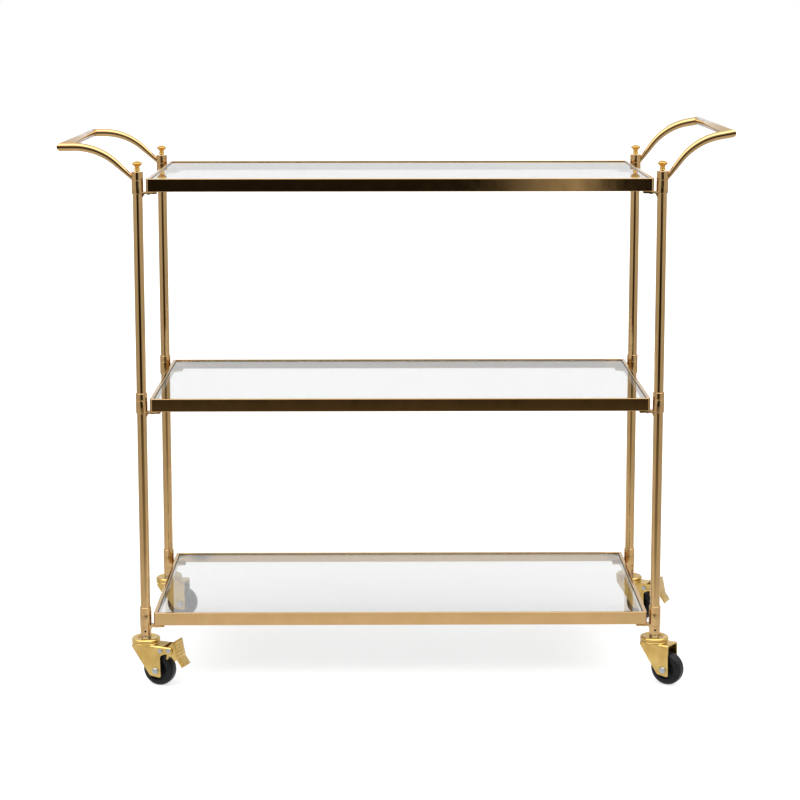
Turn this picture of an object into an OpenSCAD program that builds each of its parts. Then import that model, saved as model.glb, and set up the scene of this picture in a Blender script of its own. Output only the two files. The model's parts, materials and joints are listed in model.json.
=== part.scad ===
// Bar cart with three framed glass shelves, two push handles and four swivel casters.
// The length runs along X, the depth along Y, and the floor is z = 0 under the middle of the cart.
// Millimetres throughout.

/* [Posts] */
// Distance between post centres along the length
post_span_x = 737; // [600:1:900]
// Distance between post centres across the depth
post_span_y = 330; // [260:1:420]
// Outer diameter of the post tubes
post_d = 14; // [13:0.5:14.5]
// Wall thickness of the post tubes
post_wall = 1.2; // [0.8:0.1:2]
// Outer diameter of the sleeves, ferrules and handle rings
collar_d = 16.6; // [16:0.2:18]

/* [Shelves] */
// Height of the bottom shelf's upper edge
bottom_shelf_z = 105.5; // [104:0.5:130]
// Height of the middle shelf's upper edge
middle_shelf_z = 419.5; // [300:0.5:520]
// Height of the top shelf's upper edge
top_shelf_z = 733; // [620:0.5:860]
// Height of a shelf rail
rail_h = 18.5; // [17:0.5:24]
// Width of a shelf rail, seen from above
rail_w = 5; // [5:0.5:8]
// Radius along the long edges of a rail
rail_edge_r = 0.8; // [0.4:0.1:2]
// Radius of a shelf's upright corners
shelf_corner_r = 3.5; // [2.5:0.5:6]
// Gap between a post's centre line and the end of a shelf
shelf_end_gap = 12; // [11:0.5:16]
// Thickness of the glass
glass_t = 5; // [4:0.5:8]
// Depth of the glass below the upper edge of its frame
glass_recess = 1.7; // [1:0.1:3]

/* [Handles] */
// Upward slope of the left handle's arms where they leave the posts
left_pitch = 42.5; // [30:0.5:60]
// Upward slope of the right handle's arms where they leave the posts
right_pitch = 53.5; // [30:0.5:60]
// Total turn of each arm, from post to crossbar
arm_bend = 43; // [30:0.5:50]
// Radius of the bend at the arm's centre line
arm_bend_r = 88; // [70:1:110]
// Diameter of an arm where it meets its ring
arm_root_d = 6.2; // [5:0.1:8]
// Diameter of the crossbar, and of an arm where it meets the crossbar
bar_d = 12; // [10:0.5:14]

/* [Casters] */
// Diameter of the wheels
wheel_d = 48; // [44:1:50]
// Width of the wheels across the tread
wheel_w = 19; // [16:0.5:21]
// Distance from a caster's swivel axis to its axle
caster_trail = 22; // [20:0.5:25]
// Turn of the front left caster from straight along the cart
front_left_turn = 22; // [0:1:359]
// Turn of the front right caster
front_right_turn = 35; // [0:1:359]
// Turn of the rear left caster
rear_left_turn = 12; // [0:1:359]
// Turn of the rear right caster
rear_right_turn = 25; // [0:1:359]

/* [Hidden] */
$fn = 64;
BRASS = [0.78, 0.60, 0.33];
CASTER_BRASS = [0.80, 0.66, 0.33];
STEEL = [0.78, 0.79, 0.80];
BLACK = [0.09, 0.09, 0.10];
CLEAR = [0.80, 0.86, 0.85, 0.4];

// A corner is [name, side along X, side along Y, caster turn, has a brake].
CORNERS = [
    ["fl", -1, -1, front_left_turn, true],
    ["fr", 1, -1, front_right_turn, false],
    ["rl", -1, 1, rear_left_turn, false],
    ["rr", 1, 1, rear_right_turn, true]
];
// A shelf is [name, height of its upper edge].
SHELVES = [["top", top_shelf_z], ["middle", middle_shelf_z], ["bottom", bottom_shelf_z]];
SHELF_PARTS = ["front_rail", "rear_rail", "side_rails", "glass", "brackets"];
// A handle is [name, side along X, pitch of its arms].
HANDLES = [["left", -1, left_pitch], ["right", 1, right_pitch]];
BRAKED = [for (c = CORNERS) if (c[4]) c];

// From the middle of the whole cart's outline to the middle between the posts
posts_middle = [4.8, 7.4];

// Fits
running_gap = 0.05;
slip_gap = 0.05;
chamfer = 0.5;

// Collars, measured from a shelf's upper edge
seam_drop = 2;
ferrule_rise = 7.8;
ring_rise = 9.7;
sleeve_drop = rail_h + 3;
spigot_d = post_d - 2 * post_wall - 0.1;
spigot_reach = 24;
screw_d = 6;

// Shelf frames
frame_x = post_span_x - 2 * shelf_end_gap;
frame_y = post_span_y + post_d;
tab_t = sleeve_drop - rail_h;
tab_w = 12;
tab_reach = 27;
gusset_r = 5;
gusset_t = 4;
glass_gap = 0.4;
pad_t = 1;
pad_d = 6;
pad_inset = 4.5;
ledge_t = 2;
ledge_leg = 13;
tab_screw_x = shelf_end_gap + rail_w - 1.6;
tab_screw_r = 1.5;
tab_screw_reach = 8;
screw_head_r = 2.6;
screw_head_h = 1.4;

// Handles
arm_lead = 28;
arm_tail = 16;
arm_start = [8.5, 2.5];
arm_sides = 12;
bend_steps = 14;

// Casters, heights above the floor
wheel_r = wheel_d / 2;
fork_top_z = 61;
fork_t = 2;
cheek_outer = 15;
cheek_inner = cheek_outer - fork_t;
bend_r = 3.2;
sheet_end = 34;
fork_tail = 29.5;
race_r = 15.5;
race_rise = 1.6;
ball_r = 1.9;
ball_z = fork_top_z + race_rise + ball_r;
ball_count = 12;
cap_r = 20.7;
cap_skirt_z = fork_top_z + race_rise + 0.8;
cap_top_z = cap_skirt_z + 5.4;
stem_r = 4;
socket_z = 71.5;
socket_d = collar_d - 0.8;
stem_top_z = socket_z + 26;
set_screw_z = 78.5;
set_screw_r = 1.5;
axle_r = 3;
hub_half = cheek_inner - 0.6;

// Brake, in the plane of a fork's cheek: [distance behind the swivel axis, height]
stop_rivet = [30.2, 54.6];
lever_pivot = [44, 56.5];
rivet_r = 2;
pedal_top = [50.5, 69.5];
pedal_foot = [55.7, 43.5];
pedal_toe = [63, 33];
pedal_half = 12.4;
lever_t = 1.8;
rib_r = 1;
shoe_reach = 14.6;
shoe_rest_angle = 253;

function unit(v) = v / norm(v);
function corner_xy(c) = posts_middle + [c[1] * post_span_x / 2, c[2] * post_span_y / 2];

// Arc that rounds corner b between its neighbours a and c.
function corner_arc(a, b, c, r, n) =
    let (
        to_a = unit(a - b),
        to_c = unit(c - b),
        half = acos(to_a * to_c) / 2,
        centre = b + unit(to_a + to_c) * r / sin(half),
        from = b + to_a * r / tan(half) - centre,
        till = b + to_c * r / tan(half) - centre,
        start = atan2(from.y, from.x),
        turn = (atan2(till.y, till.x) - start + 540) % 360 - 180
    )
    [for (k = [0 : n]) centre + r * [cos(start + turn * k / n), sin(start + turn * k / n)]];

// Outline with each corner rounded by its own radius.
function rounded(points, radii, n = 5) =
    let (count = len(points))
    [for (i = [0 : count - 1])
        each corner_arc(points[(i + count - 1) % count], points[i], points[(i + 1) % count], radii[i], n)];

module rounded_square(x, y, r) {
    square([x, y - 2 * r], center = true);
    square([x - 2 * r, y], center = true);
    for (sx = [-1, 1], sy = [-1, 1])
        translate([sx * (x / 2 - r), sy * (y / 2 - r)])
            circle(r);
}

// Turned ring with a bore and chamfered outer edges, standing on z = 0.
module turned_ring(outer_d, bore_d, h) {
    rotate_extrude()
        polygon([
            [bore_d / 2, 0], [outer_d / 2 - chamfer, 0], [outer_d / 2, chamfer],
            [outer_d / 2, h - chamfer], [outer_d / 2 - chamfer, h], [bore_d / 2, h]
        ]);
}

module at_corner(c, z = 0) {
    translate([corner_xy(c).x, corner_xy(c).y, z])
        children();
}

// Moves to the middle between the posts.
module at_middle(z) {
    translate([posts_middle.x, posts_middle.y, z])
        children();
}

// Upright plate in the XZ plane, centred on y.
module upright_plate(outline, y, t) {
    translate([0, y + t / 2, 0])
        rotate([90, 0, 0])
            linear_extrude(t)
                polygon(outline);
}

// ---- Posts and the pieces that join them ----

module post_tube(c, low_z, high_z) {
    color(BRASS)
        at_corner(c, low_z)
            difference() {
                cylinder(d = post_d, h = high_z - low_z);
                translate([0, 0, -1])
                    cylinder(d = post_d - 2 * post_wall, h = high_z - low_z + 2);
            }
}

module upper_post(c) {
    post_tube(c, middle_shelf_z - seam_drop, top_shelf_z - seam_drop);
}

module lower_post(c) {
    post_tube(c, bottom_shelf_z - seam_drop, middle_shelf_z - seam_drop);
}

module ferrules(shelf_z) {
    color(BRASS)
        for (c = CORNERS)
            at_corner(c, shelf_z - seam_drop)
                turned_ring(collar_d, post_d + 2 * slip_gap, seam_drop + ferrule_rise);
}

module middle_spigots() {
    color(STEEL)
        for (c = CORNERS)
            at_corner(c, middle_shelf_z - seam_drop - spigot_reach)
                cylinder(d = spigot_d, h = 2 * spigot_reach);
}

module top_plugs() {
    color(STEEL)
        for (c = CORNERS)
            at_corner(c, top_shelf_z - seam_drop - spigot_reach)
                difference() {
                    cylinder(d = spigot_d, h = spigot_reach);
                    translate([0, 0, -1])
                        cylinder(d = screw_d + 2 * slip_gap, h = spigot_reach + 2);
                }
}

// Half section of a finial above its ring: foot, waist, flared disc with a domed top.
function finial_section() = concat(
    [[0, 0], [2.4, 0], [2.4, 1]],
    [[4.3, 1.2], [4.3, 2.2]],
    [for (a = [0 : 15 : 165])
        [2.6 + 4.6 * pow(sin(a / 2), 6) + 1.5 * pow(cos(a / 2), 4), 2.6 + 7.6 * a / 165]],
    [for (a = [-60 : 20 : 60]) [6.5 + cos(a), 11.4 + sin(a)]],
    [for (a = [0.75, 0.5, 0.25]) [7 * a, 12.3 + 2.6 * (1 - a * a)]],
    [[0, 14.9]]
);

module finials() {
    color(CASTER_BRASS)
        for (c = CORNERS)
            at_corner(c, top_shelf_z + ring_rise) {
                rotate_extrude()
                    polygon(finial_section());
                translate([0, 0, -ring_rise - seam_drop - 18])
                    cylinder(d = screw_d, h = ring_rise + seam_drop + 18.5);
            }
}

// ---- Shelves ----

// Flat rail along X or Y, mitred at both ends and rounded at the frame's upright corners.
module rail(shelf_z, turn) {
    along_x = turn % 180 == 0;
    length = along_x ? frame_x : frame_y;
    depth = along_x ? frame_y : frame_x;
    color(BRASS)
        at_middle(shelf_z - rail_h)
            intersection() {
                rotate([0, 0, turn])
                    translate([length / 2 + 1, -depth / 2 + rail_w / 2, rail_h / 2])
                        rotate([0, -90, 0])
                            linear_extrude(length + 2)
                                rounded_square(rail_h, rail_w, rail_edge_r);
                rotate([0, 0, turn])
                    linear_extrude(rail_h)
                        polygon([
                            [-length / 2, -depth / 2], [length / 2, -depth / 2],
                            [length / 2 - 2 * rail_w, -depth / 2 + 2 * rail_w],
                            [-length / 2 + 2 * rail_w, -depth / 2 + 2 * rail_w]
                        ]);
                linear_extrude(rail_h)
                    rounded_square(frame_x, frame_y, shelf_corner_r);
            }
}

// The two short rails, with blind holes for the screws through the bracket tabs.
module side_rails(shelf_z) {
    difference() {
        for (turn = [90, 270])
            rail(shelf_z, turn);
        for (c = CORNERS)
            at_corner(c, shelf_z - sleeve_drop)
                facing_inward(c)
                    translate([tab_screw_x, 0, 0])
                        cylinder(r = tab_screw_r + slip_gap, h = tab_t + tab_screw_reach + 0.2);
    }
}

module glass(shelf_z) {
    color(CLEAR)
        at_middle(shelf_z - glass_recess - glass_t)
            linear_extrude(glass_t)
                rounded_square(frame_x - 2 * (rail_w + glass_gap), frame_y - 2 * (rail_w + glass_gap), 1.5);
}

// Sleeve round the post, with a tab under the frame and a concave gusset below the tab.
// What passes below the sleeve, a post or a caster socket, has its own diameter.
module brackets(shelf_z, below_d) {
    color(BRASS)
        for (c = CORNERS)
            at_corner(c, shelf_z - sleeve_drop)
                facing_inward(c)
                    difference() {
                        union() {
                            turned_ring(collar_d, post_d + 2 * slip_gap, sleeve_drop - seam_drop);
                            translate([0, -tab_w / 2, 0])
                                cube([tab_reach, tab_w, tab_t]);
                            upright_plate(gusset_outline(), 0, gusset_t);
                        }
                        translate([0, 0, -0.1])
                            cylinder(d = post_d + 2 * slip_gap, h = sleeve_drop);
                        translate([0, 0, -2 * gusset_r])
                            cylinder(d = below_d + 2 * slip_gap, h = 2 * gusset_r);
                        translate([tab_screw_x, 0, -1])
                            cylinder(r = tab_screw_r + slip_gap, h = tab_t + 2);
                    }
}

// Turns a bracket so that its tab points along X to the middle of the cart.
module facing_inward(c) {
    rotate([0, 0, c[1] > 0 ? 180 : 0])
        children();
}

function gusset_outline() =
    let (x = socket_d / 2 - 0.2)
    concat(
        [[x - 2, 0.5], [x - 2, -gusset_r], [x, -gusset_r]],
        [for (a = [180 : -15 : 90]) [x + gusset_r, -gusset_r] + gusset_r * [cos(a), sin(a)]],
        [[x + gusset_r, 0.5]]
    );

module bracket_screws() {
    color(STEEL)
        for (s = SHELVES, c = CORNERS)
            at_corner(c, s[1] - sleeve_drop)
                facing_inward(c)
                    translate([tab_screw_x, 0, -screw_head_h]) {
                        cylinder(r = screw_head_r, h = screw_head_h);
                        cylinder(r = tab_screw_r, h = screw_head_h + tab_t + tab_screw_reach);
                    }
}

module at_glass_corners() {
    for (s = SHELVES, sx = [-1, 1], sy = [-1, 1])
        at_middle(s[1] - glass_recess - glass_t)
            translate([sx * (frame_x / 2 - rail_w), sy * (frame_y / 2 - rail_w), 0])
                mirror([sx > 0 ? 1 : 0, 0, 0])
                    mirror([0, sy > 0 ? 1 : 0, 0])
                        children();
}

module glass_ledges() {
    color(BRASS)
        at_glass_corners()
            translate([0, 0, -pad_t - ledge_t])
                linear_extrude(ledge_t)
                    polygon([[0, 0], [ledge_leg, 0], [ledge_leg, 2], [2, ledge_leg], [0, ledge_leg]]);
}

module glass_pads() {
    color(CLEAR)
        at_glass_corners()
            translate([pad_inset, pad_inset, -pad_t])
                cylinder(d = pad_d, h = pad_t);
}

// ---- Handles ----

function heading(a) = [cos(a), sin(a)];

// Centre line of an arm in its upright plane: a straight lead, a bend and a short tail.
function arm_path(pitch) =
    let (
        bend_start = arm_start + arm_lead * heading(pitch),
        bend = [for (k = [0 : bend_steps])
            let (a = pitch - arm_bend * k / bend_steps)
            bend_start + arm_bend_r * [sin(pitch) - sin(a), cos(a) - cos(pitch)]]
    )
    concat(
        [arm_start - 4 * heading(pitch)],
        bend,
        [bend[bend_steps] + arm_tail * heading(pitch - arm_bend)]
    );

function arm_slopes(pitch) =
    concat([pitch], [for (k = [0 : bend_steps]) pitch - arm_bend * k / bend_steps], [pitch - arm_bend]);

function arm_end(pitch) = arm_path(pitch)[bend_steps + 2];

// Radius along the arm, growing quickly at first and levelling out at the crossbar.
function arm_radius(share) = (bar_d - (bar_d - arm_root_d) * pow(1 - share, 2)) / 2;

// One arm as a tapered tube; its last ring lies in the mitre with the crossbar.
module arm_sweep(pitch, outer_side) {
    path = arm_path(pitch);
    slopes = arm_slopes(pitch);
    last = len(path) - 1;
    rings = [for (i = [0 : last], k = [0 : arm_sides - 1])
        let (
            a = 360 * (k + 0.5) / arm_sides,
            r = arm_radius(i / last) / cos(180 / arm_sides),
            mitre = i == last ? outer_side * r * cos(a) : 0,
            p = path[i] + mitre * heading(slopes[i]) + r * sin(a) * heading(slopes[i] + 90)
        )
        [p.x, r * cos(a), p.y]];
    sides = [for (i = [0 : last - 1], k = [0 : arm_sides - 1])
        let (k2 = (k + 1) % arm_sides)
        [i * arm_sides + k, i * arm_sides + k2, (i + 1) * arm_sides + k2, (i + 1) * arm_sides + k]];
    root = [[for (k = [arm_sides - 1 : -1 : 0]) k]];
    tip = [[for (k = [0 : arm_sides - 1]) last * arm_sides + k]];
    polyhedron(rings, concat(sides, root, tip));
}

// Places a handle's own frame at the top of the posts on its side of the cart.
module handle_frame(h) {
    at_middle(top_shelf_z)
        mirror([h[1] < 0 ? 1 : 0, 0, 0])
            translate([post_span_x / 2, 0, 0])
                children();
}

module handle_arms(h) {
    color(BRASS)
        handle_frame(h)
            for (sy = [-1, 1])
                translate([0, sy * post_span_y / 2, 0])
                    difference() {
                        arm_sweep(h[2], sy);
                        translate([0, 0, -20])
                            cylinder(d = collar_d, h = 40);
                    }
}

module handle_bar(h) {
    end = arm_end(h[2]);
    half = post_span_y / 2;
    r = bar_d / 2;
    color(BRASS)
        handle_frame(h)
            translate([end.x, 0, end.y])
                rotate([0, arm_bend - h[2], 0])
                    intersection() {
                        rotate([90, 0, 0])
                            cylinder(d = bar_d, h = 2 * (half + bar_d), center = true);
                        translate([0, 0, -bar_d])
                            linear_extrude(2 * bar_d)
                                polygon([
                                    [-2 * r, -half + 2 * r], [2 * r, -half - 2 * r],
                                    [2 * r, half + 2 * r], [-2 * r, half - 2 * r]
                                ]);
                    }
}

module handle_rings(h) {
    color(BRASS)
        handle_frame(h)
            for (sy = [-1, 1])
                translate([0, sy * post_span_y / 2, -seam_drop])
                    turned_ring(collar_d, screw_d + 2 * slip_gap, seam_drop + ring_rise);
}

// ---- Caster mountings, fixed to the cart ----

// Socket for a caster stem: a stub under the sleeve, a spigot in the sleeve and one in the post.
module caster_sockets() {
    sleeve_low = bottom_shelf_z - sleeve_drop;
    sleeve_top = bottom_shelf_z - seam_drop;
    color(BRASS)
        for (c = CORNERS)
            at_corner(c)
                difference() {
                    union() {
                        translate([0, 0, socket_z])
                            cylinder(d = socket_d, h = sleeve_low - socket_z);
                        translate([0, 0, sleeve_low])
                            cylinder(d = post_d, h = sleeve_top - sleeve_low);
                        translate([0, 0, sleeve_top])
                            cylinder(d = spigot_d, h = spigot_reach);
                    }
                    translate([0, 0, socket_z - 1])
                        cylinder(r = stem_r + slip_gap, h = stem_top_z - socket_z + 2);
                    at_set_screw(c)
                        cylinder(r = set_screw_r + slip_gap, h = socket_d);
                }
}

// Set screws point outwards, to the front at the front posts and to the rear at the rear ones.
module at_set_screw(c) {
    translate([0, 0, set_screw_z])
        rotate([c[2] < 0 ? 90 : -90, 0, 0])
            children();
}

module set_screws() {
    color(STEEL)
        for (c = CORNERS)
            at_corner(c)
                at_set_screw(c)
                    translate([0, 0, stem_r + slip_gap])
                        cylinder(r = set_screw_r, h = 2.4);
}

// Stem through the cap and the fork, with a riveted washer that carries the fork.
module caster_stems() {
    top = stem_top_z - fork_top_z + fork_t;
    color(STEEL)
        for (c = CORNERS)
            at_corner(c, fork_top_z - fork_t)
                rotate_extrude()
                    polygon([
                        [0, -3.4], [4, -3.4], [6.4, -2.2], [6.4, -0.15], [stem_r, -0.15],
                        [stem_r, top - 1], [stem_r - 1, top], [0, top]
                    ]);
}

module stem_nuts() {
    color(STEEL)
        for (c = CORNERS)
            at_corner(c, cap_top_z - 2.9)
                difference() {
                    cylinder(r = 7.2, h = socket_z - cap_top_z + 2.8, $fn = 6);
                    translate([0, 0, -1])
                        cylinder(r = stem_r + slip_gap, h = 12);
                }
}

// Dished cap over the balls: a rolled rim, a crown and a sunk middle.
module caster_caps() {
    color(CASTER_BRASS)
        for (c = CORNERS)
            at_corner(c, cap_skirt_z)
                rotate_extrude()
                    polygon(concat(
                        [[stem_r + slip_gap, 0.6], [11, 0.6], [13, 3], [17.4, 3], [18.9, 1.6], [18.9, 0]],
                        [[cap_r - 0.4, 0]],
                        [for (a = [-20 : 15 : 85]) [cap_r - 3.4 + 3.4 * cos(a), 2 + 3.4 * sin(a)]],
                        [[14.5, 5.2], [11.5, 4.2], [9.5, 2.9], [8.5, 2.5], [stem_r + slip_gap, 2.5]]
                    ));
}

module swivel_balls() {
    color(STEEL)
        for (c = CORNERS, k = [0 : ball_count - 1])
            at_corner(c, ball_z)
                rotate([0, 0, 360 * k / ball_count])
                    translate([race_r, 0, 0])
                        sphere(r = ball_r - running_gap);
}

// ---- Swivelling pieces, drawn in a caster's own frame: +X trails, Y runs along the axle ----

module caster_frame(c) {
    at_corner(c)
        rotate([0, 0, -c[3]])
            children();
}

// Outline of the fork seen along the axle; a braked fork reaches back to carry the lever.
function cheek_outline(braked) = braked
    ? rounded(
        [[-15.5, fork_top_z], [-15.5, 56.5], [13, 16.5], [30.5, 14.5], [29.5, 46.5], [37, 50.5],
            [48.5, 49.5], [50, fork_top_z]],
        [0.4, 3, 5, 2.5, 5, 5, 5, 5])
    : rounded(
        [[-15.5, fork_top_z], [-15.5, 56.5], [13, 16.5], [30.5, 14.5], [fork_tail, fork_top_z]],
        [0.4, 3, 5, 2.5, 0.4]);

// Section across the fork: flat on top, with both upper corners bent to a radius.
module bend_section(half, top, r) {
    translate([-half, 0])
        square([2 * half, top - r]);
    translate([r - half, 0])
        square([2 * (half - r), top]);
    for (side = [-1, 1])
        translate([side * (half - r), top - r])
            circle(r);
}

module bent_sheet(outline) {
    intersection() {
        translate([-race_r - 5, 0, 0])
            rotate([90, 0, 90])
                linear_extrude(80)
                    difference() {
                        bend_section(cheek_outer, fork_top_z, bend_r);
                        translate([0, -1])
                            bend_section(cheek_inner, fork_top_z - fork_t + 1, bend_r - fork_t);
                    }
        upright_plate(outline, 0, 2 * cheek_outer);
    }
}

module fork(c) {
    color(CASTER_BRASS)
        caster_frame(c)
            difference() {
                union() {
                    bent_sheet(cheek_outline(c[4]));
                    translate([0, 0, fork_top_z - fork_t])
                        cylinder(r = 19.8, h = fork_t);
                    translate([0, 0, fork_top_z])
                        rotate_extrude()
                            polygon([[11.5, -1], [race_r + 1.5, -1], [19.8, -1], [20.4, -0.3], [20.4, 0.6],
                                [19.6, race_rise], [13, race_rise], [11.5, 0.4]]);
                }
                translate([0, 0, fork_top_z - 2 * fork_t])
                    cylinder(r = stem_r + running_gap, h = 4 * fork_t);
                across(caster_trail, wheel_r)
                    cylinder(r = axle_r + slip_gap, h = 3 * cheek_outer, center = true);
                if (c[4]) {
                    translate([sheet_end, -cheek_inner, fork_top_z - 2 * bend_r])
                        cube([30, 2 * cheek_inner, 3 * bend_r]);
                    for (p = [stop_rivet, lever_pivot])
                        across(p.x, p.y)
                            cylinder(r = rivet_r + slip_gap, h = 3 * cheek_outer, center = true);
                }
            }
}

// Turns Z to run along the axle, at distance x behind the swivel axis and height z.
module across(x, z) {
    translate([x, 0, z])
        rotate([90, 0, 0])
            children();
}

// Wheel with a crowned tread, a raised rim and a long hub, turned about the axle.
module wheel(c) {
    half = wheel_w / 2;
    crown = 6.5;
    color(BLACK)
        caster_frame(c)
            across(caster_trail, wheel_r)
                rotate_extrude()
                    polygon(concat(
                        [[axle_r + running_gap, -hub_half], [6.5, -hub_half], [7.5, -half + 2.5]],
                        [[13.5, -half + 2], [15, -half]],
                        [for (a = [-90 : 11.25 : 0]) [wheel_r - crown, crown - half] + crown * heading(a)],
                        [for (a = [0 : 11.25 : 90]) [wheel_r - crown, half - crown] + crown * heading(a)],
                        [[15, half], [13.5, half - 2]],
                        [[7.5, half - 2.5], [6.5, hub_half], [axle_r + running_gap, hub_half]]
                    ));
}

// Axle bolt with a domed head towards the front and a nut behind.
module axle_bolt(c) {
    color(STEEL)
        caster_frame(c)
            across(caster_trail, wheel_r) {
                translate([0, 0, -cheek_outer - 2.6])
                    cylinder(r = axle_r, h = 2 * cheek_outer + 3.6);
                translate([0, 0, cheek_outer])
                    rotate_extrude()
                        polygon([[0, 0], [4.8, 0], [4.8, 1.5], [4.1, 2.4], [2.5, 3], [0, 3.1]]);
                translate([0, 0, -cheek_outer - 2.4])
                    cylinder(r = 4.9, h = 2.4, $fn = 6);
            }
}

module brake_rivets(c) {
    color(STEEL)
        caster_frame(c)
            for (p = [stop_rivet, lever_pivot])
                across(p.x, p.y) {
                    cylinder(r = rivet_r, h = 2 * cheek_outer + 0.4, center = true);
                    for (side = [-1, 1])
                        translate([0, 0, side * (cheek_outer + 0.65)])
                            cylinder(r = 3.3, h = 1.3, center = true);
                }
}

// Pressed lever: two ears on the pivot, a ribbed pedal with a toe lip, and a shoe over the tread.
module brake_lever(c) {
    ear_outline = rounded(
        [[38.2, 52], [43, 62.4], pedal_top - [0.5, 0], pedal_foot + [0.4, 0], [52.5, 40.5], [47, 47.5]],
        [5, 5, 1, 1, 2, 4]);
    pedal_out = unit([pedal_top.y - pedal_foot.y, pedal_foot.x - pedal_top.x]);
    lip_out = unit([pedal_foot.y - pedal_toe.y, pedal_toe.x - pedal_foot.x]);
    pedal_ribs = [for (share = [0.1, 0.28, 0.46, 0.64, 0.82])
        pedal_top + share * (pedal_foot - pedal_top) + lever_t * pedal_out];
    lip_ribs = [for (share = [0.3, 0.6]) pedal_foot + share * (pedal_toe - pedal_foot) + lever_t * lip_out];
    shoe_tip = lever_pivot + shoe_reach * heading(shoe_rest_angle);
    shoe_root = lever_pivot + 2 * heading(shoe_rest_angle);
    shoe_side = 1.1 * heading(shoe_rest_angle + 90);
    color(CASTER_BRASS)
        caster_frame(c)
            difference() {
                union() {
                    for (side = [-1, 1])
                        upright_plate(ear_outline, side * (cheek_inner - 0.3 - lever_t / 2), lever_t);
                    upright_plate(
                        [pedal_top, pedal_top + lever_t * pedal_out,
                            pedal_foot + lever_t * (pedal_out + lip_out) / 2 + [0.1, 0.1],
                            pedal_toe + lever_t * lip_out, pedal_toe, pedal_foot + [0, -0.6]],
                        0, 2 * pedal_half);
                    upright_plate(
                        [shoe_root + 2 * shoe_side, shoe_tip + shoe_side, shoe_tip - shoe_side,
                            shoe_root - 2 * shoe_side],
                        0, 2 * (cheek_inner - 0.5));
                    across(lever_pivot.x, lever_pivot.y)
                        cylinder(r = 3.6, h = 2 * (cheek_inner - 0.5), center = true);
                    for (p = concat(pedal_ribs, lip_ribs))
                        across(p.x, p.y)
                            cylinder(r = rib_r, h = 2 * pedal_half - 3, center = true);
                    across(pedal_toe.x + lever_t * lip_out.x / 2, pedal_toe.y + lever_t * lip_out.y / 2)
                        cylinder(r = lever_t / 2 + 0.3, h = 2 * pedal_half, center = true);
                }
                across(lever_pivot.x, lever_pivot.y)
                    cylinder(r = rivet_r + running_gap, h = 3 * cheek_outer, center = true);
            }
}

// ---- Nodes ----

for (c = CORNERS) upper_post(c);
for (c = CORNERS) lower_post(c);
for (s = SHELVES) rail(s[1], 0);
for (s = SHELVES) rail(s[1], 180);
for (s = SHELVES) side_rails(s[1]);
for (s = SHELVES) glass(s[1]);
for (s = SHELVES) brackets(s[1], s[0] == "bottom" ? socket_d : post_d);
glass_ledges();
glass_pads();
bracket_screws();
ferrules(middle_shelf_z);  // middle_ferrules
ferrules(bottom_shelf_z);  // bottom_ferrules
middle_spigots();
top_plugs();
finials();
for (h = HANDLES) handle_bar(h);
for (h = HANDLES) handle_arms(h);
for (h = HANDLES) handle_rings(h);
caster_sockets();
set_screws();
caster_stems();
stem_nuts();
caster_caps();
swivel_balls();
for (c = CORNERS) fork(c);
for (c = CORNERS) wheel(c);
for (c = CORNERS) axle_bolt(c);
for (c = BRAKED) brake_lever(c);
for (c = BRAKED) brake_rivets(c);
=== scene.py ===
"""Bar cart in polished brass with three glass shelves, on a white studio floor."""

import json
import math

import bmesh
import bpy
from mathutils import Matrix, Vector

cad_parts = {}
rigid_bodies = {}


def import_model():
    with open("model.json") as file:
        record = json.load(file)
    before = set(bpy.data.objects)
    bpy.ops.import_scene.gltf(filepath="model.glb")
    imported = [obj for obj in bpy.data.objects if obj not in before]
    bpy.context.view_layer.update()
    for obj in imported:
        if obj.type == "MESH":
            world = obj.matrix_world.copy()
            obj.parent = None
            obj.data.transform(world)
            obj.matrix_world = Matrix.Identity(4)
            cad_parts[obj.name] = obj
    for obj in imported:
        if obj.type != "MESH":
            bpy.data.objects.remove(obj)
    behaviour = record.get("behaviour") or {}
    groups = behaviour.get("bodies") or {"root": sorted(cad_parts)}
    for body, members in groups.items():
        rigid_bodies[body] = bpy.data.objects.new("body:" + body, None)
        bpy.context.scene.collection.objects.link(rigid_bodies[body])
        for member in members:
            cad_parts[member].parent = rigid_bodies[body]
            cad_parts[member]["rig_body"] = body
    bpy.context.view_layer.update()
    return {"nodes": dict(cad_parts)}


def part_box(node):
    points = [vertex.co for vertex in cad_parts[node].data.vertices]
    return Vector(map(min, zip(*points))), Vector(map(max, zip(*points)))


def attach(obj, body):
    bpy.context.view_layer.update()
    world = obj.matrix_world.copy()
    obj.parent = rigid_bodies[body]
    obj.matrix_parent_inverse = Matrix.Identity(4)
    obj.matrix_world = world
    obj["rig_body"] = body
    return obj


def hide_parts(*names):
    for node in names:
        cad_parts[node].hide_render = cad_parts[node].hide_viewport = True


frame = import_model()
nodes = frame["nodes"]
MM = 0.001

# ---------------------------------------------------------------- what the frame says

CORNERS = ("fl", "fr", "rl", "rr")
SHELVES = ("top", "middle", "bottom")
BRAKED = ("fl", "rr")


def middle_of(node):
    low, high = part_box(node)
    return (low + high) / 2


def post_axis(corner):
    """Centre line of a post, at floor level."""
    at = middle_of("upper_post_" + corner)
    return Vector((at.x, at.y, 0))


def shelf_top(shelf):
    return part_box(shelf + "_front_rail")[1].z


posts_middle = sum((post_axis(corner) for corner in CORNERS), Vector()) / 4


# ---------------------------------------------------------------- node helpers

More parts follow.
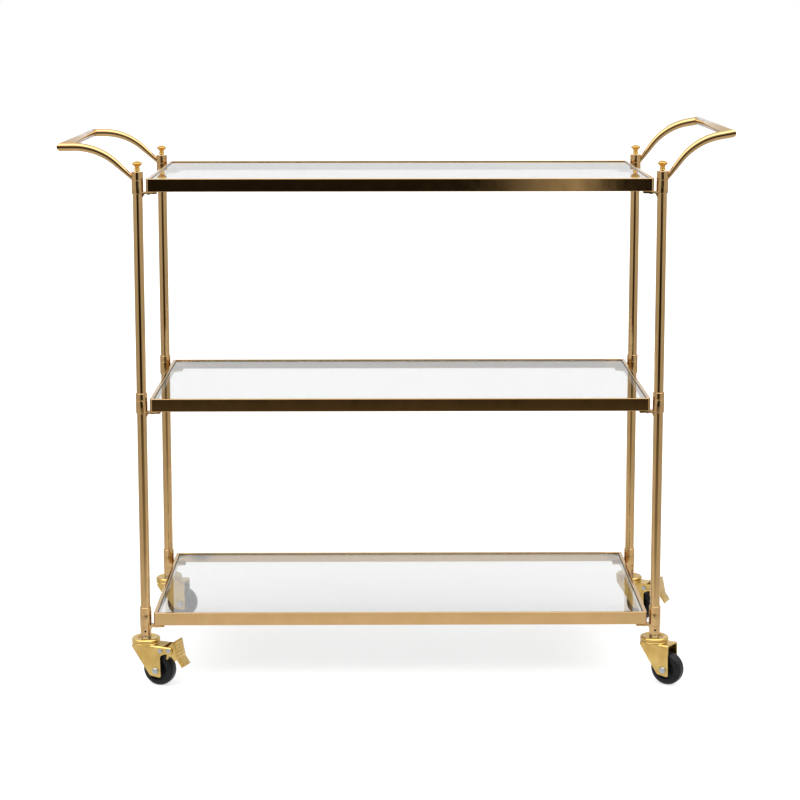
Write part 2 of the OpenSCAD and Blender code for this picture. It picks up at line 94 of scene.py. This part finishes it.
class Graph:
    """A node tree, with short calls for the nodes that the materials share."""

    def __init__(self, tree):
        self.tree = tree

    def node(self, kind, values=(), **settings):
        made = self.tree.nodes.new(kind)
        for key, value in settings.items():
            setattr(made, key, value)
        for key, value in dict(values).items():
            if isinstance(value, bpy.types.NodeSocket):
                self.tree.links.new(value, made.inputs[key])
            else:
                made.inputs[key].default_value = value
        return made

    def math(self, operation, a, b=0.0):
        return self.node("ShaderNodeMath", {0: a, 1: b}, operation=operation).outputs[0]

    def ramp(self, value, low, high, out_low=0.0, out_high=1.0, smooth=False):
        kind = "SMOOTHSTEP" if smooth else "LINEAR"
        made = self.node(
            "ShaderNodeMapRange",
            {"Value": value, "From Min": low, "From Max": high, "To Min": out_low, "To Max": out_high},
            interpolation_type=kind,
        )
        return made.outputs["Result"]

    def levels(self, value, points):
        """Level that runs straight from point to point, each given as (value, level)."""
        top = max(level for _, level in points)
        low, high = points[0][0], points[-1][0]
        made = self.node("ShaderNodeValToRGB", {"Fac": self.ramp(value, low, high)})
        stops = made.color_ramp.elements
        for place, level in points[1:-1]:
            stop = stops.new((place - low) / (high - low))
            stop.color = (level / top, level / top, level / top, 1)
        for stop, level in ((stops[0], points[0][1]), (stops[-1], points[-1][1])):
            stop.color = (level / top, level / top, level / top, 1)
        return self.math("MULTIPLY", made.outputs["Color"], top)

    def colour_mix(self, share, a, b):
        made = self.node("ShaderNodeMix", data_type="RGBA")
        for key, value in ((0, share), (6, a), (7, b)):
            if isinstance(value, bpy.types.NodeSocket):
                self.tree.links.new(value, made.inputs[key])
            else:
                made.inputs[key].default_value = value if key == 0 else (*value, 1)
        return made.outputs[2]

    def noise(self, where, scale, detail=3.0, roughness=0.5):
        made = self.node(
            "ShaderNodeTexNoise",
            {"Vector": where, "Scale": scale, "Detail": detail, "Roughness": roughness},
        )
        return made.outputs["Fac"]

    def stretched(self, scale):
        """Object coordinates, stretched, so that noise on them turns into streaks."""
        where = self.node("ShaderNodeTexCoord").outputs["Object"]
        return self.node("ShaderNodeMapping", {"Vector": where, "Scale": scale}).outputs[0]

    def bump(self, height, strength, distance):
        made = self.node(
            "ShaderNodeBump", {"Height": height, "Strength": strength, "Distance": distance})
        return made.outputs["Normal"]


def new_material(name):
    material = bpy.data.materials.new(name)
    material.use_nodes = True
    graph = Graph(material.node_tree)
    shader = material.node_tree.nodes["Principled BSDF"]
    return material, graph, shader


def link(graph, source, shader, socket):
    graph.tree.links.new(source, shader.inputs[socket])


# ---------------------------------------------------------------- materials

def metal(name, light, dark, smooth, rough, grain=(60, 60, 60), bump_height=0.00002, spots=0.0):
    """Polished or satin metal: cloudy colour, smudges in the gloss, fine grain and small stains."""
    material, g, shader = new_material(name)
    where = g.node("ShaderNodeTexCoord").outputs["Object"]
    clouds = g.noise(where, 35, 4)
    tone = g.colour_mix(g.ramp(clouds, 0.3, 0.7), dark, light)
    stains = g.ramp(g.noise(where, 260, 5, 0.65), 0.62, 0.78, 0, spots)
    tone = g.colour_mix(stains, tone, tuple(0.45 * c for c in dark))
    link(g, tone, shader, "Base Color")
    smudges = g.noise(g.stretched((18, 18, 11)), 3, 5, 0.6)
    fine = g.noise(g.stretched(grain), 12, 3)
    gloss = g.ramp(smudges, 0.35, 0.7, smooth, rough)
    link(g, g.math("ADD", gloss, g.math("MULTIPLY", fine, 0.03)), shader, "Roughness")
    link(g, g.bump(fine, 0.25, bump_height), shader, "Normal")
    shader.inputs["Metallic"].default_value = 1.0
    return material


def glass_face():
    """Clear float glass with faint wiping marks."""
    material, g, shader = new_material("glass_face")
    marks = g.noise(g.stretched((6, 30, 30)), 2, 6, 0.6)
    link(g, g.ramp(marks, 0.55, 0.8, 0.0, 0.03), shader, "Roughness")
    tone = g.colour_mix(g.ramp(marks, 0.3, 0.8), (0.71, 0.72, 0.715), (0.68, 0.69, 0.685))
    link(g, tone, shader, "Base Color")
    shader.inputs["Transmission Weight"].default_value = 1.0
    shader.inputs["IOR"].default_value = 1.52
    return material


def glass_edge():
    """Ground edge of a pane, where the green of the glass shows."""
    material, g, shader = new_material("glass_edge")
    streaks = g.noise(g.stretched((40, 40, 400)), 8, 3)
    tone = g.colour_mix(g.ramp(streaks, 0.3, 0.7), (0.20, 0.34, 0.29), (0.34, 0.47, 0.41))
    link(g, tone, shader, "Base Color")
    link(g, g.ramp(streaks, 0.2, 0.8, 0.22, 0.4), shader, "Roughness")
    link(g, g.bump(streaks, 0.3, 0.00005), shader, "Normal")
    shader.inputs["Transmission Weight"].default_value = 0.6
    shader.inputs["IOR"].default_value = 1.52
    return material


def wheel_plastic():
    """Black moulded plastic with a cloudy tone and gloss, light dust and a fine grain."""
    material, g, shader = new_material("wheel_plastic")
    where = g.node("ShaderNodeTexCoord").outputs["Object"]
    clouds = g.noise(where, 90, 4)
    tone = g.colour_mix(g.ramp(clouds, 0.3, 0.7), (0.004, 0.004, 0.005), (0.009, 0.009, 0.010))
    dust = g.ramp(g.noise(where, 420, 6, 0.7), 0.6, 0.8, 0, 0.3)
    link(g, g.colour_mix(dust, tone, (0.03, 0.03, 0.029)), shader, "Base Color")
    link(g, g.ramp(clouds, 0.3, 0.75, 0.24, 0.38), shader, "Roughness")
    grain = g.noise(where, 900, 3)
    link(g, g.bump(grain, 0.2, 0.00008), shader, "Normal")
    shader.inputs["Specular IOR Level"].default_value = 0.2
    return material


def pad_plastic():
    """Clear soft plastic of the pads under the glass."""
    material, g, shader = new_material("pad_plastic")
    where = g.node("ShaderNodeTexCoord").outputs["Object"]
    haze = g.noise(where, 300, 4)
    link(g, g.colour_mix(haze, (0.80, 0.84, 0.82), (0.92, 0.94, 0.93)), shader, "Base Color")
    link(g, g.ramp(haze, 0.2, 0.8, 0.15, 0.35), shader, "Roughness")
    link(g, g.bump(haze, 0.2, 0.00005), shader, "Normal")
    shader.inputs["Transmission Weight"].default_value = 0.75
    shader.inputs["IOR"].default_value = 1.45
    return material


MATERIALS = {
    "frame_brass": metal(
        "frame_brass", (0.615, 0.402, 0.184), (0.575, 0.368, 0.160), 0.045, 0.11, spots=0.25),
    "finial_brass": metal(
        "finial_brass", (0.76, 0.48, 0.13), (0.68, 0.41, 0.10), 0.12, 0.2, spots=0.2),
    "caster_brass": metal(
        "caster_brass", (0.76, 0.54, 0.19), (0.52, 0.33, 0.09), 0.17, 0.3, grain=(90, 90, 90),
        bump_height=0.0001, spots=0.5),
    "fittings_steel": metal(
        "fittings_steel", (0.52, 0.53, 0.54), (0.40, 0.41, 0.43), 0.24, 0.38, spots=0.3),
    "dark_steel": metal(
        "dark_steel", (0.055, 0.052, 0.05), (0.035, 0.034, 0.034), 0.4, 0.55, spots=0.3),
    "shelf_glass": glass_face(),
    "glass_edge": glass_edge(),
    "wheel_plastic": wheel_plastic(),
    "clear_pads": pad_plastic(),
}


def slot_of(node):
    return nodes[node].data.materials[0].name.split(".")[0]


CAD_SLOTS = {name: slot_of(name) for name in nodes}
for name, node in nodes.items():
    node.data.materials.clear()
    node.data.materials.append(MATERIALS["dark_steel" if name == "set_screws" else CAD_SLOTS[name]])

# ---------------------------------------------------------------- mesh helpers

SHARP = math.radians(35)


def add_piece(name, bm, slot_name, body, *stands_for, materials=None):
    """Turns a bmesh into a smooth-shaded piece that rides on a body and stands for CAD nodes."""
    bmesh.ops.recalc_face_normals(bm, faces=bm.faces)
    mesh = bpy.data.meshes.new(name)
    bm.to_mesh(mesh)
    bm.free()
    mesh.shade_smooth()
    mesh.set_sharp_from_angle(angle=SHARP)
    for material in materials or (slot_name,):
        mesh.materials.append(MATERIALS[material])
    piece = bpy.data.objects.new(name, mesh)
    bpy.context.scene.collection.objects.link(piece)
    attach(piece, body)
    if stands_for:
        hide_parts(*stands_for)
    return piece


def body_of(node):
    return nodes[node]["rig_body"]


def soften(node, width):
    """A copy of a CAD node, welded and with its edges rounded off, that stands for the node."""
    bm = bmesh.new()
    bm.from_mesh(nodes[node].data)
    bmesh.ops.remove_doubles(bm, verts=bm.verts, dist=0.000004)
    bmesh.ops.dissolve_limit(
        bm, angle_limit=math.radians(0.6), verts=bm.verts, edges=bm.edges, delimit={"NORMAL"})
    edges = [e for e in bm.edges if len(e.link_faces) == 2 and e.calc_face_angle(0) > math.radians(40)]
    bmesh.ops.bevel(
        bm, geom=edges, offset=width, offset_type="WIDTH", segments=2, profile=0.5, affect="EDGES",
        clamp_overlap=True)
    return add_piece("soft_" + node, bm, CAD_SLOTS[node], body_of(node), node)


def ring_faces(bm, a, b):
    for k, start in enumerate(a):
        n = (k + 1) % len(a)
        bm.faces.new((start, a[n], b[n], b[k]))


# ---------------------------------------------------------------- handles

ARM_LEAD = 28 * MM
ARM_TAIL = 16 * MM
ARM_BEND = math.radians(43)
ARM_BEND_R = 88 * MM
ARM_START = Vector((8.5, 2.5)) * MM
ARM_ROOT_D = 6.2 * MM
BAR_D = 12 * MM
BAR_END_CHAMFER = 0.5 * MM
HANDLES = {"left": (-1, 42.5), "right": (1, 53.5)}
ARM_SIDES = 48
BEND_STEPS = 40


def heading(angle):
    return Vector((math.cos(angle), math.sin(angle)))


def arm_line(pitch):
    """Points and slopes along an arm in its upright plane, from inside its ring to the crossbar."""
    bend_start = ARM_START + ARM_LEAD * heading(pitch)
    rows = [(ARM_START - 4 * MM * heading(pitch), pitch)]
    rows += [(bend_start - ARM_LEAD * (1 - k / 6) * heading(pitch), pitch) for k in range(1, 6)]
    for k in range(BEND_STEPS + 1):
        slope = pitch - ARM_BEND * k / BEND_STEPS
        turned = Vector((math.sin(pitch) - math.sin(slope), math.cos(slope) - math.cos(pitch)))
        rows.append((bend_start + ARM_BEND_R * turned, slope))
    end, slope = rows[-1]
    rows += [(end + ARM_TAIL * k / 3 * heading(slope), slope) for k in (1, 2, 3)]
    return rows


def build_handle(side_name):
    side, pitch_deg = HANDLES[side_name]
    rows = arm_line(math.radians(pitch_deg))
    lengths = [0.0]
    for (a, _), (b, _) in zip(rows, rows[1:]):
        lengths.append(lengths[-1] + (b - a).length)
    front, rear = (post_axis("fl"), post_axis("rl")) if side < 0 else (post_axis("fr"), post_axis("rr"))
    top = shelf_top("top")

    def place(flat, y):
        return Vector((front.x + side * flat.x, y, top + flat.y))

    bm = bmesh.new()
    for post, outer in ((front, -1), (rear, 1)):
        rings = []
        for (point, slope), along in zip(rows, lengths):
            share = 1 - along / lengths[-1]
            radius = (BAR_D - (BAR_D - ARM_ROOT_D) * share ** 2) / 2
            last = along == lengths[-1]
            ring = []
            for k in range(ARM_SIDES):
                a = 2 * math.pi * k / ARM_SIDES
                flat = point + radius * math.sin(a) * heading(slope + math.pi / 2)
                if last:
                    flat = flat + outer * radius * math.cos(a) * heading(slope)
                ring.append(bm.verts.new(place(flat, post.y + radius * math.cos(a))))
            rings.append(ring)
        for a, b in zip(rings, rings[1:]):
            ring_faces(bm, a, b)
        bm.faces.new(rings[0])
        bm.faces.new(rings[-1])
    add_piece(side_name + "_arms", bm, "frame_brass", "cart", side_name + "_handle_arms")

    bm = bmesh.new()
    end, slope = rows[-1]
    radius = BAR_D / 2
    rings = []
    for post, outer in ((front, -1), (rear, 1)):
        for inset in (0.0, BAR_END_CHAMFER):
            shrink = radius - (BAR_END_CHAMFER / 2 if inset == 0 else 0)
            ring = []
            for k in range(ARM_SIDES):
                a = 2 * math.pi * k / ARM_SIDES
                across = shrink * math.cos(a)
                rise = shrink * math.sin(a)
                flat = end + across * heading(slope) + rise * heading(slope + math.pi / 2)
                ring.append(bm.verts.new(place(flat, post.y + outer * (across - inset))))
            rings.append(ring)
    order = [rings[0], rings[1], rings[3], rings[2]]
    for a, b in zip(order, order[1:]):
        ring_faces(bm, a, b)
    bm.faces.new(order[0])
    bm.faces.new(order[-1])
    add_piece(side_name + "_bar", bm, "frame_brass", "cart", side_name + "_handle_bar")


for side_name in HANDLES:
    build_handle(side_name)

# ---------------------------------------------------------------- glass

ARRIS = 0.5 * MM


def build_glass(shelf):
    """Pane with its edges ground off at 45 degrees; the edge has its own finish."""
    bm = bmesh.new()
    bm.from_mesh(nodes[shelf + "_glass"].data)
    bmesh.ops.remove_doubles(bm, verts=bm.verts, dist=0.000004)
    bmesh.ops.dissolve_limit(bm, angle_limit=math.radians(0.6), verts=bm.verts, edges=bm.edges)
    rim = [e for e in bm.edges if e.calc_face_angle(0) > math.radians(80)]
    bmesh.ops.bevel(bm, geom=rim, offset=ARRIS, offset_type="OFFSET", segments=1, affect="EDGES")
    bm.normal_update()
    for face in bm.faces:
        face.material_index = 0 if abs(face.normal.z) > 0.99 else 1
    add_piece(
        shelf + "_pane", bm, "shelf_glass", "cart", shelf + "_glass",
        materials=("shelf_glass", "glass_edge"))


for shelf in SHELVES:
    build_glass(shelf)

# ---------------------------------------------------------------- rounded hard edges

for shelf in SHELVES:
    soften(shelf + "_brackets", 0.5 * MM)
for corner in CORNERS:
    soften("fork_" + corner, 0.45 * MM)
    soften("axle_bolt_" + corner, 0.3 * MM)
for corner in BRAKED:
    soften("brake_lever_" + corner, 0.4 * MM)
    soften("brake_rivets_" + corner, 0.35 * MM)
soften("stem_nuts", 0.4 * MM)

# ---------------------------------------------------------------- studio

FLOOR_R = 14.0


def stage_object(name, mesh, material):
    mesh.materials.append(material)
    made = bpy.data.objects.new(name, mesh)
    bpy.context.scene.collection.objects.link(made)
    return made


def flat_mesh(name, corners):
    mesh = bpy.data.meshes.new(name)
    mesh.from_pydata(corners, [], [range(len(corners))])
    return mesh


def floor_material():
    """White floor that glows a little, so that only a faint shadow is left under the cart."""
    material, g, shader = new_material("pale_floor")
    where = g.node("ShaderNodeTexCoord").outputs["Object"]
    clouds = g.noise(where, 1.5, 4)
    link(g, g.colour_mix(clouds, (0.50, 0.50, 0.495), (0.53, 0.53, 0.53)), shader, "Base Color")
    link(g, g.ramp(clouds, 0.3, 0.7, 0.75, 0.9), shader, "Roughness")
    shader.inputs["Specular IOR Level"].default_value = 0.1
    shader.inputs["Emission Color"].default_value = (1, 1, 1, 1)
    shader.inputs["Emission Strength"].default_value = 0.62
    return material


def disc(name, height):
    turns = [2 * math.pi * k / 96 for k in range(96)]
    return flat_mesh(name, [(FLOOR_R * math.cos(a), FLOOR_R * math.sin(a), height) for a in turns])


floor = stage_object("floor", disc("floor", 0), floor_material())
floor.visible_glossy = False


def only_in_reflections(card):
    card.visible_camera = False
    card.visible_diffuse = False
    card.visible_transmission = False
    card.visible_shadow = False
    card.visible_volume_scatter = False


def card_material(name, build):
    """A card seen only in reflections: build returns how solid it is, how bright, and its colour."""
    material = bpy.data.materials.new(name)
    material.use_nodes = True
    g = Graph(material.node_tree)
    material.node_tree.nodes.remove(material.node_tree.nodes["Principled BSDF"])
    solid, strength, colour = build(g)
    light = g.node("ShaderNodeEmission", {"Color": colour, "Strength": strength})
    mixed = g.node("ShaderNodeMixShader", {0: solid})
    clear = g.node("ShaderNodeBsdfTransparent")
    g.tree.links.new(clear.outputs[0], mixed.inputs[1])
    g.tree.links.new(light.outputs[0], mixed.inputs[2])
    g.tree.links.new(mixed.outputs[0], material.node_tree.nodes["Material Output"].inputs["Surface"])
    return material


def shaded_floor(g):
    """The floor as the metal shows it: bright by the cart, grey to the sides, dark out to the front."""
    where = g.node("ShaderNodeSeparateXYZ", {0: g.node("ShaderNodeTexCoord").outputs["Object"]})
    x, y = where.outputs["X"], where.outputs["Y"]
    away = g.math("SQRT", g.math("ADD", g.math("MULTIPLY", x, x), g.math("MULTIPLY", y, y)))
    around = g.levels(
        away, [(0, 1.0), (0.55, 0.92), (0.9, 0.76), (1.4, 0.64), (3, 0.6), (8, 0.69), (14, 0.7)])
    forward = g.math("MULTIPLY", y, -1)
    ahead = g.levels(
        forward, [(0, 1.0), (0.5, 1.0), (0.62, 0.66), (0.9, 0.36), (1.4, 0.24), (1.9, 0.17),
                  (2.26, 0.10), (2.36, 0.045), (3.4, 0.02), (14, 0.015)])
    reach = g.math("MULTIPLY", forward, 0.45)
    off_side = g.math("SUBTRACT", g.math("ABSOLUTE", x), g.math("ADD", reach, 0.12))
    in_front = g.math("MULTIPLY", g.ramp(off_side, -0.2, 0.2, 1, 0, smooth=True), g.ramp(forward, 0, 0.3))
    level = g.math("ADD", g.math("MULTIPLY", ahead, in_front),
                   g.math("MULTIPLY", around, g.math("SUBTRACT", 1, in_front)))
    tint = g.colour_mix(g.ramp(level, 0.1, 0.55), (1.0, 0.78, 0.5), (1.0, 1.0, 1.0))
    return 1.0, level, tint


mirror_floor = stage_object(
    "mirror_floor", disc("mirror_floor", 0.001), card_material("shaded_floor", shaded_floor))
mirror_floor.location = posts_middle
only_in_reflections(mirror_floor)


def pale_card(g):
    """A pale card beside the camera, seen as a soft patch in the upper front rail."""
    where = g.node("ShaderNodeSeparateXYZ", {0: g.node("ShaderNodeTexCoord").outputs["Object"]})
    side = g.ramp(where.outputs["X"], -0.17, 0.13, 0, 1, smooth=True)
    side = g.math("MULTIPLY", side, g.ramp(where.outputs["X"], 0.14, 0.19, 1, 0, smooth=True))
    rise = g.ramp(g.math("ABSOLUTE", where.outputs["Z"]), 0.15, 0.45, 1, 0, smooth=True)
    return g.math("MULTIPLY", side, rise), 0.5, (1.0, 0.94, 0.84, 1.0)


card = stage_object(
    "pale_card",
    flat_mesh("pale_card", [(-0.2, 0, -0.5), (0.2, 0, -0.5), (0.2, 0, 0.5), (-0.2, 0, 0.5)]),
    card_material("pale_card", pale_card))
card.location = posts_middle + Vector((0.41, -3.2, 0.55))
only_in_reflections(card)


SOFTBOX_LEVEL = 2.9


def build_world():
    """White surroundings; reflections see pale sides and back, an overhead softbox and a dark front."""
    world = bpy.data.worlds.new("studio")
    bpy.context.scene.world = world
    world.use_nodes = True
    g = Graph(world.node_tree)
    out = g.node("ShaderNodeSeparateXYZ", {0: g.node("ShaderNodeTexCoord").outputs["Generated"]})
    x, y, z = (out.outputs[k] for k in "XYZ")
    flat = g.math("SQRT", g.math("ADD", g.math("MULTIPLY", x, x), g.math("MULTIPLY", y, y)))
    to_back = g.math("DIVIDE", y, g.math("MAXIMUM", flat, 0.001))
    back = g.levels(z, [(-0.1, 0.9), (0.08, 0.94), (0.18, 0.9), (0.28, 0.93), (0.6, 0.95), (1, 0.8)])
    side = g.levels(z, [(-0.1, 0.68), (0.3, 0.70), (0.7, 0.9), (1, 0.7)])
    ahead = g.levels(z, [(-0.1, 0.015), (0.12, 0.06), (0.3, 0.35), (0.5, 0.7), (1, 0.8)])
    behind = g.ramp(to_back, 0.3, 0.8, smooth=True)
    front = g.ramp(to_back, -math.cos(math.radians(23)), -math.cos(math.radians(32)), 1, 0, smooth=True)
    level = g.math("ADD", g.math("MULTIPLY", back, behind),
                   g.math("MULTIPLY", side, g.math("SUBTRACT", 1, behind)))
    level = g.math("ADD", g.math("MULTIPLY", ahead, front),
                   g.math("MULTIPLY", level, g.math("SUBTRACT", 1, front)))
    up = g.math("MAXIMUM", z, 0.05)
    across = g.math("ABSOLUTE", g.math("DIVIDE", x, up))
    along = g.math("DIVIDE", y, up)
    box = g.math("MULTIPLY", g.ramp(across, 1.3, 1.8, 1, 0, smooth=True),
                 g.ramp(along, 0.0, 0.35, 1, 0, smooth=True))
    box = g.math("MULTIPLY", box, g.ramp(along, -1.35, -1.0, smooth=True))
    level = g.math("ADD", g.math("MULTIPLY", level, g.math("SUBTRACT", 1, box)),
                   g.math("MULTIPLY", box, SOFTBOX_LEVEL))
    path = g.node("ShaderNodeLightPath")
    seen = g.math("MAXIMUM", path.outputs["Is Camera Ray"], path.outputs["Is Transmission Ray"])
    strength = g.math("ADD", g.math("MULTIPLY", level, g.math("SUBTRACT", 1, seen)), seen)
    background = world.node_tree.nodes["Background"]
    background.inputs["Color"].default_value = (1, 1, 1, 1)
    g.tree.links.new(strength, background.inputs["Strength"])


build_world()

# ---------------------------------------------------------------- camera

camera = bpy.data.objects.new("camera", bpy.data.cameras.new("camera"))
bpy.context.scene.collection.objects.link(camera)
bpy.context.scene.camera = camera
camera.location = posts_middle + Vector((-0.0179, -3.1658, 0.9775))
camera.rotation_euler = (math.radians(90) - 0.1512, 0.0008, -0.006)
camera.data.sensor_width = 36
camera.data.lens = 96.3
camera.data.shift_y = -0.09
camera.data.clip_start = 0.05
camera.data.clip_end = 100

bpy.context.scene.view_settings.view_transform = "Standard"
